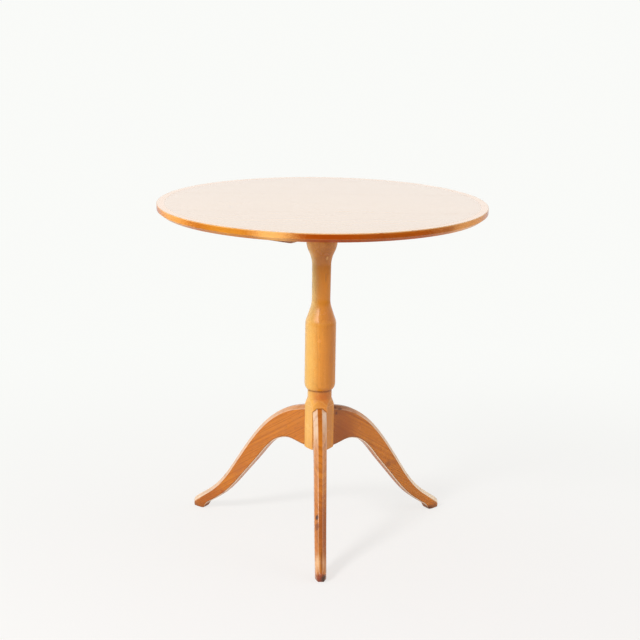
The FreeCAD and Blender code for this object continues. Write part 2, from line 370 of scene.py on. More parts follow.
# Turned profile as (radius, height, ease, wear), from the middle of the hub's bottom up to the tenon's end.
# The barrel's foot is a quarter ellipse. The flare is two mirror arcs between upright ends,
# each with radius r = R - sqrt(R2 - z2) from its own end.
def columnProfile(shape, bottom, bearing, top):
    collar, barrel, head = shape["collarRadius"], shape["barrelRadius"], shape["headRadius"]
    groove, corner, bevel = collar - shape["grooveDepth"], shape["hubCorner"], shape["hubBevel"]
    tenon, neck = shape["tenonRadius"], shape["neckTopRadius"]
    quarter = np.linspace(0, 1, shape["curveSteps"])[1:-1] * math.pi / 2
    foot = [groove + (barrel - groove) * np.sin(quarter),
            shape["barrelFoot"] - (shape["barrelFoot"] - shape["grooveTop"]) * np.cos(quarter)]
    rise, run = (shape["headLow"] - shape["neckTop"]) / 2, (head - neck) / 2
    bend = (rise ** 2 + run ** 2) / (2 * run)
    climb = np.linspace(0, rise, shape["curveSteps"])
    bulge = bend - np.sqrt(bend ** 2 - climb ** 2)
    lower = [neck + bulge[:-1], shape["neckTop"] + climb[:-1]]
    upper = [(head - bulge)[::-1], (shape["headLow"] - climb)[::-1]]
    rows = np.linspace(shape["legRootTop"] - shape["jointBelow"], shape["hubTop"] - shape["jointAbove"],
                       shape["jointRows"])
    hubFoot = shape["hubFootEase"], shape["hubFootWear"]
    curve = lambda pair: np.column_stack([pair[0], pair[1], 0 * pair[0], 0 * pair[0]])
    return np.concatenate([
        [[shape["capRadius"], bottom, 0, 0], [corner - bevel, bottom, *hubFoot],
         [corner, bottom + bevel, *hubFoot]],
        curve([np.full(len(rows), corner), rows]),
        [[corner, shape["hubTop"], shape["hubTopEase"], shape["hubTopWear"]],
         [collar, shape["shoulderTop"], shape["collarFootEase"], 0],
         [collar, shape["collarTop"], shape["collarTopEase"], 0],
         [groove, shape["collarTop"], shape["grooveEase"], 0],
         [groove, shape["grooveTop"], shape["grooveEase"], 0]],
        curve(foot),
        [[barrel, shape["barrelFoot"], 0, 0],
         [barrel, shape["barrelTop"], shape["shoulderRound"], shape["shoulderWear"]],
         [shape["neckLowRadius"], shape["neckLow"], shape["neckEase"], 0]],
        curve(lower), curve(upper),
        [[head, bearing, shape["headEase"], shape["headWear"]],
         [tenon, bearing, shape["tenonFootEase"], 0],
         [tenon, top, shape["tenonEndEase"], 0], [shape["capRadius"], top, 0, 0]]])


# How far a point of a hub face lies outside the root of the leg that stands there: the largest of its
# distances past the leg's side, its top and its chamfer.
def outsideRoot(across, height, shape):
    half, wide, deep = legShape["rootHalf"], legShape["upperChamferWidth"], legShape["upperChamferDepth"]
    over = height - shape["legRootTop"]
    past = ((across - half + wide) * deep + over * wide) / math.hypot(wide, deep)
    return np.maximum(np.maximum(across - half, over), past)


# Column surface over turn and profile: the radius is the profile's, or below the collar the smaller of
# that and the hexagon a / cos(turn from the nearest face), joined by a soft minimum.
# Painted shade sits in the groove over the collar, under the barrel's foot, and in the joint lines round the
# leg roots, where it is also a dark joint.
def makeColumn(name, shape):
    bottom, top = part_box("column")[0].z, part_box("column")[1].z
    corners = columnProfile(shape, bottom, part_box("bearer_lower")[0].z, top)
    side = np.linalg.norm(np.diff(corners[:, :2], axis=0), axis=1)
    shortest = np.minimum(np.append(side, side[-1]), np.append(side[0], side))
    support = np.minimum(shape["support"], shortest * shape["supportShare"])[:, None]
    eased = np.minimum(corners[:, 2], shortest * shape["easeShare"])
    path, wear = easedCorners(corners[:, :2], eased, shape["easeSteps"], support, closed=False)
    marked = np.column_stack([path, wear * np.repeat(corners[:, 3], len(wear) // len(corners))])
    profile = densePath(marked, shape["spacing"])
    turn = np.linspace(0, 2 * math.pi, shape["turnSteps"], endpoint=False)[None, :]
    radius, height = profile[:, :1], profile[:, 1:2]
    face = math.pi / shape["hubFaces"]
    fromFace = turn % (2 * face) - face
    hexagon = np.where(height < shape["shoulderTop"], shape["hubApothem"] / np.cos(fromFace), 1.0)
    soft = shape["softMin"]
    close = np.maximum(soft - np.abs(radius - hexagon), 0) / soft
    radius = np.minimum(radius, hexagon) - close ** 2 * soft / 4
    level = np.broadcast_to(height, radius.shape)
    rings = np.stack([radius * np.cos(turn), radius * np.sin(turn), level], -1)
    fromLeg = (turn + face) % (4 * face) - 2 * face
    outside = outsideRoot(np.abs(radius * np.sin(fromLeg)), height, shape)
    # the joint line round each leg root: a dark joint with painted shade
    joint = np.exp(-((outside - shape["jointMiddle"]) / shape["jointWidth"]) ** 2)
    joint = joint * (np.abs(fromLeg) < face) * (height < shape["hubTop"])
    fading = shape["legRootTop"] - np.array(shape["jointFade"])
    joint = joint * np.interp(height, fading, shape["jointDarkAndShade"])
    edge = np.maximum(profile[:, 2:3], close * shape["cornerWear"])
    edge = np.where(joint > shape["jointLeast"], -joint, edge)
    # painted shade in the groove under the barrel's foot
    grooveMiddle = (shape["collarTop"] + shape["grooveTop"]) / 2
    edge = edge - shape["grooveShade"] * np.exp(-((height - grooveMiddle) / shape["grooveReach"]) ** 2)
    return makePiece(name, rings, rings[..., [2, 0, 1]], edge, (0, 0, 1))


column = makeColumn("turnedColumn", columnShape)
print("column made:", len(column.data.polygons), "faces")


# Legs

# Natural cubic through the knots by chord length: its second slopes solve the tridiagonal equations that
# keep the first slope continuous.
def smoothCurve(knots, shares):
    knots = np.array(knots)
    place = np.concatenate([[0], np.cumsum(np.linalg.norm(np.diff(knots, axis=0), axis=1))])
    gap, slope = np.diff(place), np.diff(knots, axis=0) / np.diff(place)[:, None]
    count = len(knots)
    system, known = np.eye(count), np.zeros((count, 2))
    inner = np.arange(1, count - 1)
    system[inner, inner - 1], system[inner, inner + 1] = gap[:-1], gap[1:]
    system[inner, inner] = 2 * (gap[:-1] + gap[1:])
    known[1:-1] = 6 * (slope[1:] - slope[:-1])
    second = np.linalg.solve(system, known)
    wanted = shares * place[-1]
    span = np.clip(np.searchsorted(place, wanted) - 1, 0, count - 2)
    ahead, width = (wanted - place[span])[:, None], gap[span][:, None]
    bend = (second[span + 1] - second[span]) / (6 * width)
    first = slope[span] - width * (2 * second[span] + second[span + 1]) / 6
    return knots[span] + ahead * (first + ahead * (second[span] / 2 + ahead * bend))


def inwardNormals(curve):
    along = unit(np.gradient(curve, axis=0))
    return np.stack([along[:, 1], -along[:, 0]], 1)


# Side view of a leg as two matched runs from root to toe. The upper run is its cubic and then the toe's
# parabola, smoothed where they meet. The lower run is its cubic, the heel's slope and the pad, timed so that
# the stations fan round the foot.
def legRuns(shape):
    share = np.linspace(0, 1, shape["runStations"])
    toeShare = np.linspace(0, 1, shape["toeStations"])[1:]
    upper = smoothCurve(shape["upper"], share)
    toeTop, toeEnd = np.array(shape["upper"][-1]), np.array([shape["padEnd"], 0.0])
    tip = np.array([shape["reach"], (toeTop[1] + toeEnd[1]) / 2])
    control = 2 * tip - (toeTop + toeEnd) / 2
    t = toeShare[:, None] * shape["toeTurn"]
    toe = (1 - t) ** 2 * toeTop + 2 * t * (1 - t) * control + t ** 2 * toeEnd
    upper = np.concatenate([upper, toe])
    knuckleStart = shape["reach"] - shape["knuckleStart"]
    knuckle = np.clip((upper[:, :1] - knuckleStart) / shape["knuckleBlend"], 0, 1)
    for smoothing in range(shape["toeSmoothing"]):
        middle = (upper[:-2] + upper[2:]) / 2
        upper[1:-1] += (middle - upper[1:-1]) / 2 * knuckle[1:-1]
    along = np.concatenate([share, 1 + toeShare * shape["toeLength"]]) / (1 + shape["toeLength"])
    places = shape["footPlaces"]
    sampled = np.linspace(0, 1, shape["curveSamples"])
    under = smoothCurve(shape["lower"], sampled)
    heel, padEnd = np.array([shape["heel"], 0.0]), np.array([shape["padEnd"] - shape["padInset"], 0.0])
    padMiddle = heel + (padEnd - heel) * shape["padMiddle"]
    foot = np.array([under[-1], heel, padMiddle, padEnd])
    onCurve = np.clip(along / places[0], 0, 1)
    lower = [np.where(along > places[0], np.interp(along, places, foot[:, k]),
                      np.interp(onCurve, sampled, under[:, k])) for k in range(2)]
    return upper, np.stack(lower, 1), along


# Weight of each kind of wear on the seven points of a section's corners, from the upper chamfer down.
# Arris and chamfer wear is rubbed finish with a painted highlight, the third a darker line of grime and
# painted shade, and the last a painted reflection of the floor on the lower chamfer.
arcWear = {
    "arris": [0, 0, 0.3, 0.8, 1, 0, 0] + [0, 0, 1, 0.8, 0.2, 0, 0] + [0] * 14,
    "chamfer": [0, 0, 0, 0, 0, 1, 1] + [1, 1, 0, 0, 0, 0, 0] + [0] * 14,
    "grimeAndShade": [0] * 14 + [0, 0.3, 1, 1, 0.3, 0, 0] + [0] * 7,
    "lower": [0] * 14 + [0, 0, 0, 0, 0, 1, 1] + [1, 1, 1, 0.75, 0.25, 0, 0],
}


# Wear and painted light over a leg, root to toe: upper chamfers and arrises rubbed pale, worn finish with a
# painted highlight; a line of grime and painted shade on the lower arrises; and the lower chamfer pale, a
# painted reflection of the floor.
def legWear(shape, along, side):
    arris, chamfer, grimeAndShade, lower = np.array(list(arcWear.values()))
    below = shape["lowerGrimeAndShade"] * grimeAndShade + shape["lowerPaintedReflection"] * lower

    def sideWear(rubs):
        rub = np.interp(along, shape["rubPlaces"], rubs)[:, None]
        worn = np.minimum(shape["leastArrisRubAndHighlight"] + shape["arrisRubAndHighlight"] * rub, 1)
        return worn * arris + rub * chamfer + below

    right, left = (sideWear(rubs) for rubs in legRubAndHighlight[side])
    return np.concatenate([right, left[:, ::-1]], 1)


# Half the thickness of a leg at the points of a side-view line: the taper from root to toe, times an
# ellipse's sqrt(1 - s2) that rounds the toe in plan and another that tucks its lower edge in.
def legHalf(shape, line):
    radius, height = line[:, 0], line[:, 1]
    root, toe = shape["upper"][0][0], shape["toeRound"]
    tapered = np.interp(radius, [root, shape["reach"]], [shape["rootHalf"], shape["toeHalf"]])
    blunt = np.clip((radius - shape["reach"] + toe) / toe, 0, 1)
    tucked = np.sqrt(blunt) * np.clip(1 - height / shape["toeLift"], 0, 1)
    plan, edge = 1 - (shape["toeNarrow"] * blunt) ** 2, 1 - (shape["toeTuck"] * tucked) ** 2
    return tapered * np.sqrt(plan * edge)


# Leg surface: at each station the section is an octagon with wide upper and small lower chamfers that
# fade out at the toe, its corners eased, turned to the leg's own azimuth.
def makeLeg(name, shape, side, azimuth, shift):
    upper, lower, along = legRuns(shape)
    tall = np.linalg.norm(upper - lower, axis=1)
    fade = np.clip((1 - along) / shape["chamferFade"], 0, 1) ** shape["chamferPower"]
    fade = shape["chamferEnd"] + (1 - shape["chamferEnd"]) * fade
    depth = np.minimum(shape["upperChamferDepth"] * fade, tall * shape["cutShare"])
    wide = np.minimum(shape["upperChamferWidth"] * fade, legHalf(shape, upper) * shape["chamferShare"])
    low = shape["lowerChamfer"] * np.interp(along, shape["lowerPlaces"], shape["lowerShares"])
    low = np.minimum(low, tall * shape["cutShare"])
    upperSide = upper + inwardNormals(upper) * depth[:, None]
    lowerSide = lower + unit(upper - lower) * low[:, None]
    lines = [(upper, wide), (upperSide, 0), (lowerSide, 0), (lower, low)]
    right = [np.column_stack([line[:, 0], legHalf(shape, line) - cut, line[:, 1]]) for line, cut in lines]
    left = [line * [1, -1, 1] for line in right[::-1]]
    corners = np.stack(right + left, 1)
    shortest = np.minimum(np.linalg.norm(np.roll(corners, -1, 1) - corners, axis=-1),
                          np.linalg.norm(np.roll(corners, 1, 1) - corners, axis=-1))
    growth, share = (np.interp(along, shape["arrisPlaces"], shape[values])[:, None]
                     for values in ("arrisGrowth", "arrisShare"))
    ease = np.minimum(shape["arrisEase"] * growth, shortest * share)
    support = np.minimum(shape["support"], shortest * shape["supportShare"])[..., None]
    section = easedCorners(corners, ease, shape["arrisSteps"], support)[0]
    wear = legWear(shape, along, side)
    chord, rise = unit(np.array([[1, 0, -shape["grainSlope"]], [shape["grainSlope"], 0, 1]]))
    grain = np.stack([section @ chord, section @ rise, section[..., 1]], -1) + shift
    turn = math.radians(azimuth)
    cosTurn, sinTurn = math.cos(turn), math.sin(turn)
    spin = np.array([[cosTurn, sinTurn, 0], [-sinTurn, cosTurn, 0], [0, 0, 1]])
    return makePiece(name, section @ spin, grain, wear, chord @ spin)


legs = {}
for count, (side, azimuth) in enumerate(legShape["turns"].items()):
    shift = np.array(legShape["grainShift"]) * count
    legs[side] = makeLeg(f"leg{side}", legShape, side, azimuth, shift)
print("legs made:", len(legs))


# Node helpers

# A socket is linked, a plain value is set, and a colour is opaque.
def setInputs(tree, made, values):
    for key, value in values.items():
        if isinstance(value, bpy.types.NodeSocket):
            tree.links.new(value, made.inputs[key])
        elif made.inputs[key].type == "RGBA":
            made.inputs[key].default_value = (*value, 1)
        else:
            made.inputs[key].default_value = value


def addNode(tree, kind, values=None, **settings):
    made = tree.nodes.new(kind)
    for key, value in settings.items():
        setattr(made, key, value)
    setInputs(tree, made, values or {})
    return made


def calc(tree, operation, *values, clamp=False):
    made = addNode(tree, "ShaderNodeMath", dict(enumerate(values)), operation=operation, use_clamp=clamp)
    return made.outputs[0]


def vectorCalc(tree, operation, values):
    return addNode(tree, "ShaderNodeVectorMath", values, operation=operation).outputs


def mixColour(tree, share, first, second, blend="MIX"):
    made = addNode(tree, "ShaderNodeMix", {0: share, 6: first, 7: second}, data_type="RGBA",
                   blend_type=blend, clamp_factor=True)
    return made.outputs[2]


def smoothStep(tree, value, low, high, toLow=0.0, toHigh=1.0):
    return addNode(tree, "ShaderNodeMapRange", {0: value, 1: low, 2: high, 3: toLow, 4: toHigh},
                   interpolation_type="SMOOTHSTEP").outputs[0]


def noise(tree, place, detail=2.0, roughness=0.5, scale=1.0):
    values = {"Vector": place, "Scale": scale, "Detail": detail, "Roughness": roughness}
    return addNode(tree, "ShaderNodeTexNoise", values).outputs


def bumped(tree, height, strength, relief):
    values = {"Height": height, "Strength": strength, "Distance": relief}
    return addNode(tree, "ShaderNodeBump", values).outputs[0]


# A group's inputs and outputs are given as labels by kind of socket.
def newGroup(name, inputs, outputs):
    tree = bpy.data.node_groups.new(name, "ShaderNodeTree")
    for side, sockets in (("INPUT", inputs), ("OUTPUT", outputs)):
        for kind, labels in sockets.items():
            for label in labels:
                tree.interface.new_socket(label, in_out=side, socket_type=kind)
    return tree, tree.nodes.new("NodeGroupInput").outputs, tree.nodes.new("NodeGroupOutput")


colour, number, vector = "NodeSocketColor", "NodeSocketFloat", "NodeSocketVector"

# Repeats per metre along and across the fibres, how far each moves the tone, and the rest of the figure
figureValues = {
    "drift": (5, 16, 16),
    "streak": (7, 150, 150),
    "fibre": (30, 1100, 1100),
    "pore": (95, 1000, 1000),
    "ringStretch": (0.04, 1, 1),
    "ringShare": 1.1,
    "streakShare": 0.9,
    "fibreShare": 0.55,
    "poreEdge": (0.60, 0.74),
    "poreTint": (0.35, 0.24, 0.16),
    "poreDepth": -0.8,
    "fibreHeight": 0.4,
    "lineSway": 1.6,
    "lineSharpness": 10.0,
    "lineBreak": (0.35, 0.6),
}


# Growth rings, fibres, pores and dark lines of a sawn board, from a place in the board in metres.
# A ring's number is the distance from the pith, drifting, over the ring spacing.
def woodGroup(values):
    tree, given, out = newGroup("woodFigure", {
        vector: ["Grain", "Pith"], colour: ["Dark", "Middle", "Pale"],
        number: ["Ring Spacing", "Wander", "Contrast", "Flecks", "Lines"],
    }, {colour: ["Color"], number: ["Height"]})
    scaled = lambda name: vectorCalc(tree, "MULTIPLY", {0: given["Grain"], 1: values[name]})[0]
    slow = noise(tree, scaled("drift"))[1]
    drift = vectorCalc(tree, "SUBTRACT", {0: slow, 1: (0.5, 0.5, 0.5)})[0]
    drift = vectorCalc(tree, "SCALE", {0: drift, "Scale": given["Wander"]})[0]
    moved = vectorCalc(tree, "ADD", {0: given["Grain"], 1: drift})[0]
    moved = vectorCalc(tree, "ADD", {0: moved, 1: given["Pith"]})[0]
    flat = vectorCalc(tree, "MULTIPLY", {0: moved, 1: values["ringStretch"]})[0]
    reach = vectorCalc(tree, "LENGTH", {0: flat})["Value"]
    ringPlace = calc(tree, "DIVIDE", reach, given["Ring Spacing"])
    rings = addNode(tree, "ShaderNodeTexNoise", {"W": ringPlace, "Scale": 1.0, "Detail": 1.5,
                                                 "Roughness": 0.6}, noise_dimensions="1D").outputs[0]
    streak = noise(tree, scaled("streak"), 3.0, 0.6)[0]
    fibre = noise(tree, scaled("fibre"), 2.0, 0.6)[0]
    pore = smoothStep(tree, noise(tree, scaled("pore"), 1.0)[0], *values["poreEdge"])
    tone = 0.5
    for part, share in ((rings, "ringShare"), (streak, "streakShare"), (fibre, "fibreShare")):
        tone = calc(tree, "MULTIPLY_ADD", calc(tree, "SUBTRACT", part, 0.5), values[share], tone)
    tone = calc(tree, "MULTIPLY_ADD", calc(tree, "SUBTRACT", tone, 0.5), given["Contrast"], 0.5)
    swing = calc(tree, "MULTIPLY_ADD", rings, values["lineSway"], ringPlace)
    swing = calc(tree, "SINE", calc(tree, "MULTIPLY", swing, math.pi))
    line = calc(tree, "POWER", calc(tree, "ABSOLUTE", swing), values["lineSharpness"])
    line = calc(tree, "MULTIPLY", line, smoothStep(tree, streak, *values["lineBreak"]))
    tone = calc(tree, "MULTIPLY_ADD", line, calc(tree, "MULTIPLY", given["Lines"], -1.0), tone, clamp=True)
    lower = mixColour(tree, calc(tree, "MULTIPLY", tone, 2.0, clamp=True), given["Dark"], given["Middle"])
    upper = calc(tree, "MULTIPLY_ADD", tone, 2.0, -1.0, clamp=True)
    shown = mixColour(tree, upper, lower, given["Pale"])
    speck = calc(tree, "MULTIPLY", pore, given["Flecks"])
    shown = mixColour(tree, speck, shown, mixColour(tree, 1.0, shown, values["poreTint"], "MULTIPLY"))
    height = calc(tree, "MULTIPLY", fibre, values["fibreHeight"])
    height = calc(tree, "MULTIPLY_ADD", speck, values["poreDepth"], height)
    setInputs(tree, out, {"Color": shown, "Height": height})
    return tree


ageValues = {
    "cloudScale": 28.0,
    "chipScale": 55.0,
    "chipEdge": (0.15, 0.45),
    "lowDarkWave": 0.02,
    "lowDarkHeight": (0.002, 0.012),
    "endEdge": (0.55, 0.9),
    "bleachEdge": (0.55, 0.95),
    "roughDrift": 0.5,
    "rubRough": 0.12,
}


# Finish rubbed thin on arrises, pale with worn finish and, on the legs and rim, a painted highlight; stain
# drunk in by end grain;
# upper faces mixed toward a bleached colour, the veneer's tone on the lipping and a little painted light
# from above on the legs; grime and painted shade; darker near the floor; and a slow drift of tone.
def agedGroup(values):
    tree, given, out = newGroup("agedFinish", {
        vector: ["Place"], colour: ["Color", "Rubbed", "End Stain", "Bleached", "Grime And Shade"],
        number: ["Edge", "End Grain", "Upward", "Rub", "End Dark", "Mottle", "Gloss", "Bleach", "Low Dark"],
    }, {colour: ["Color"], number: ["Roughness", "Bleached Part"]})
    cloud = calc(tree, "SUBTRACT", noise(tree, given["Place"], 3.0, 0.55, values["cloudScale"])[0], 0.5)
    chips = noise(tree, given["Place"], 3.0, 0.5, values["chipScale"])[0]
    shade = calc(tree, "MULTIPLY_ADD", cloud, given["Mottle"], 1.0)
    shown = vectorCalc(tree, "SCALE", {0: given["Color"], "Scale": shade})[0]
    grimeAndShade = calc(tree, "MULTIPLY", given["Edge"], -1.0, clamp=True)
    height = addNode(tree, "ShaderNodeSeparateXYZ", {0: given["Place"]}).outputs["Z"]
    height = calc(tree, "MULTIPLY_ADD", calc(tree, "SUBTRACT", chips, 0.5), values["lowDarkWave"], height)
    lowDark = calc(tree, "MULTIPLY", smoothStep(tree, height, *values["lowDarkHeight"], 1.0, 0.0), given["Low Dark"])
    grimeAndShade = calc(tree, "MAXIMUM", grimeAndShade, lowDark)
    rub = calc(tree, "MULTIPLY", given["Edge"], smoothStep(tree, chips, *values["chipEdge"]), clamp=True)
    rub = calc(tree, "MULTIPLY", rub, given["Rub"], clamp=True)
    shown = mixColour(tree, rub, shown, given["Rubbed"])
    stain = smoothStep(tree, given["End Grain"], *values["endEdge"])
    stain = calc(tree, "MULTIPLY", stain, given["End Dark"])
    shown = mixColour(tree, stain, shown, given["End Stain"])
    bleach = smoothStep(tree, given["Upward"], *values["bleachEdge"])
    bleach = calc(tree, "MULTIPLY", bleach, given["Bleach"])
    shown = mixColour(tree, bleach, shown, given["Bleached"])
    shown = mixColour(tree, grimeAndShade, shown, given["Grime And Shade"])
    rough = calc(tree, "MULTIPLY_ADD", calc(tree, "MULTIPLY", cloud, values["roughDrift"]), given["Mottle"],
                 given["Gloss"])
    rough = calc(tree, "MULTIPLY_ADD", rub, values["rubRough"], rough)
    setInputs(tree, out, {"Color": shown, "Roughness": rough, "Bleached Part": bleach})
    return tree


markValues = {"raggedScale": 420.0, "ragged": 0.9, "outerEdge": 1.15, "broadCore": 0.1, "smallCore": 0.5}


# A mask for a small knot, a broad tint or a patch of painted light and shade: it falls off from a place over
# a size, with a ragged edge.
def markAndPaintedLightGroup(values):
    tree, given, out = newGroup("markAndPaintedLight", {vector: ["Place", "Centre", "Stretch"], number: ["Core"]},
                                {number: ["Mask"]})
    away = vectorCalc(tree, "SUBTRACT", {0: given["Place"], 1: given["Centre"]})[0]
    away = vectorCalc(tree, "MULTIPLY", {0: away, 1: given["Stretch"]})[0]
    reach = vectorCalc(tree, "LENGTH", {0: away})["Value"]
    ragged = calc(tree, "SUBTRACT", noise(tree, given["Place"], 2.0, 0.6, values["raggedScale"])[0], 0.5)
    reach = calc(tree, "MULTIPLY_ADD", ragged, values["ragged"], reach)
    setInputs(tree, out, {"Mask": smoothStep(tree, reach, given["Core"], values["outerEdge"], 1.0, 0.0)})
    return tree


woodFigure, agedFinish, markAndPaintedLight = woodGroup(figureValues), agedGroup(ageValues), markAndPaintedLightGroup(markValues)


def newMaterial(name):
    material = bpy.data.materials.new(name)
    material.use_nodes = True
    tree = material.node_tree
    tree.nodes.clear()
    surface = addNode(tree, "ShaderNodeOutputMaterial")
    shader = addNode(tree, "ShaderNodeBsdfPrincipled")
    tree.links.new(shader.outputs[0], surface.inputs["Surface"])
    return material, tree, shader


def fillGroup(tree, group, values):
    return addNode(tree, "ShaderNodeGroup", values, node_tree=group).outputs


# A mark whose smallest stretch is below broadMark is a tint under the wear, and any other lies over it.
broadMark = 80
grainRelief = 0.0004


# Lacquered wood: figure, broad tints, wear, then small marks feed one shader with a clear coat. Many of the
# broad tints and one small mark are painted light and shade.
def makeWood(name, look, marks=(), ownGrain=True):
    material, tree, shader = newMaterial(name)
    place = addNode(tree, "ShaderNodeTexCoord").outputs["Object"]
    if ownGrain:
        grain = addNode(tree, "ShaderNodeAttribute", attribute_name="grain").outputs["Vector"]
        worn = {label: addNode(tree, "ShaderNodeAttribute", attribute_name=layer).outputs["Fac"]
                for label, layer in (("Edge", "edge"), ("End Grain", "endGrain"), ("Upward", "upward"))}
    else:
        turned = {"Vector": place, "Rotation": (0, 0, look["grainTurn"])}
        grain, worn = addNode(tree, "ShaderNodeMapping", turned).outputs[0], {}
    figure = fillGroup(tree, woodFigure, {"Grain": grain, **look["figure"]})

    def marked(shown, core, chosen):
        for centre, stretch, tint, depth in chosen:
            values = {"Place": place, "Centre": centre, "Stretch": stretch, "Core": core}
            mask = fillGroup(tree, markAndPaintedLight, values)["Mask"]
            shown = mixColour(tree, calc(tree, "MULTIPLY", mask, depth), shown, tint)
        return shown

    broad = [mark for mark in marks if min(mark[1]) < broadMark]
    small = [mark for mark in marks if min(mark[1]) >= broadMark]
    shown = marked(figure["Color"], markValues["broadCore"], broad)
    aged = fillGroup(tree, agedFinish, {"Color": shown, "Place": place, **worn, **look["aged"]})
    shown = marked(aged["Color"], markValues["smallCore"], small)
    bump = bumped(tree, figure["Height"], look["bump"], grainRelief)
    setInputs(tree, shader, {"Base Color": shown, "Roughness": aged["Roughness"], "Normal": bump,
                             **look["shader"]})
    if "faceCoat" in look:
        coat = calc(tree, "MULTIPLY", aged["Bleached Part"], look["faceCoat"])
        setInputs(tree, shader, {"Coat Weight": coat})
    return material


gloss = {"IOR": 1.44, "Coat Weight": 0.3, "Coat Roughness": 0.1, "Coat IOR": 1.45}
lacquer = {**gloss, "Coat Weight": 0.15}
polish = {**gloss, "IOR": 1.5, "Coat Weight": 0.4}

columnLook = {
    "figure": {"Dark": (0.50, 0.150, 0.006), "Middle": (0.71, 0.265, 0.017), "Pale": (0.80, 0.37, 0.05),
               "Ring Spacing": 0.006, "Pith": (0, 0.011, -0.034), "Wander": 0.006, "Contrast": 0.8,
               "Flecks": 0.4, "Lines": 0.35},
    # its Grime colour is the painted shade in the joint lines and the groove
    "aged": {"Rubbed": (0.84, 0.46, 0.14), "Rub": 0.45, "End Stain": (0.45, 0.15, 0.02), "End Dark": 0.25,
             "Mottle": 0.2, "Gloss": 0.26, "Grime And Shade": (0.25, 0.078, 0.012)},
    "bump": 0.2, "shader": gloss,
}
# On the legs the pale Rubbed colour is worn finish and painted highlight on the upper chamfers and arrises,
# and a painted reflection on the lower chamfers; Bleached paints their upward faces a little lighter, as
# painted light from above.
legLook = {
    "figure": {"Dark": (0.355, 0.087, 0.005), "Middle": (0.54, 0.163, 0.009), "Pale": (0.65, 0.240, 0.022),
               "Ring Spacing": 0.004, "Pith": (0, 0.07, 0.05), "Wander": 0.009, "Contrast": 0.8,
               "Flecks": 0.45, "Lines": 0.5},
    "aged": {"Rubbed": (0.97, 0.83, 0.62), "Rub": 0.95, "End Stain": (0.16, 0.045, 0.015), "End Dark": 0.9,
             "Mottle": 0.25, "Gloss": 0.26, "Bleached": (0.80, 0.42, 0.12), "Bleach": 0.1, "Low Dark": 0.5,
             "Grime And Shade": (0.16, 0.045, 0.01)},
    "bump": 0.2, "shader": lacquer,
}
# On the rim the Rubbed colour on the arrises is worn finish and a painted highlight.
lippingLook = {
    "figure": {"Dark": (0.29, 0.050, 0.003), "Middle": (0.40, 0.078, 0.003), "Pale": (0.54, 0.155, 0.009),
               "Ring Spacing": 0.003, "Pith": (0, -0.28, -0.60), "Wander": 0.004, "Contrast": 0.8,
               "Flecks": 0.4},
    "aged": {"Rubbed": (0.84, 0.50, 0.20), "Rub": 0.7, "End Stain": (0.3, 0.1, 0.02), "End Dark": 0.3,
             "Mottle": 0.3, "Gloss": 0.20, "Bleached": (0.51, 0.265, 0.095), "Bleach": 1.0},
    "bump": 0.02, "shader": {**polish, "Specular IOR Level": 0.12}, "faceCoat": 0.57,
}
faceLook = {
    "figure": {"Dark": (0.32, 0.150, 0.045), "Middle": (0.41, 0.232, 0.086), "Pale": (0.48, 0.290, 0.122),
               "Ring Spacing": 0.012, "Pith": (0, 0.06, 0.02), "Wander": 0.03, "Contrast": 0.45,
               "Flecks": 0.15},
    "aged": {"Rubbed": (0.34, 0.18, 0.07), "Rub": 0.8, "End Stain": (0.3, 0.12, 0.03), "End Dark": 0.0,
             "Mottle": 0.06, "Gloss": 0.22},
    "bump": 0.0015, "shader": polish,
}
backLook = {
    "figure": {"Dark": (0.22, 0.10, 0.045), "Middle": (0.34, 0.175, 0.08), "Pale": (0.43, 0.24, 0.12),
               "Ring Spacing": 0.012, "Pith": (0, 0.06, 0.02), "Wander": 0.03, "Contrast": 0.8,
               "Flecks": 0.5},
    "aged": {"Rubbed": (0.16, 0.08, 0.03), "Rub": 0.8, "End Stain": (0.2, 0.09, 0.03), "End Dark": 0.0,
             "Mottle": 0.25, "Gloss": 0.55},
    "bump": 0.25, "shader": {"IOR": 1.45, "Coat Weight": 0.15, "Coat Roughness": 0.4},
}
bearerLook = {
    "figure": {"Dark": (0.29, 0.110, 0.045), "Middle": (0.43, 0.185, 0.084), "Pale": (0.52, 0.245, 0.12),
               "Ring Spacing": 0.005, "Pith": (0, 0.03, -0.55), "Wander": 0.012, "Contrast": 0.9,
               "Flecks": 0.5},
    "aged": {"Mottle": 0.3, "Gloss": 0.5},
    "bump": 0.35, "shader": {"IOR": 1.45, "Coat Weight": 0.25, "Coat Roughness": 0.35},
}

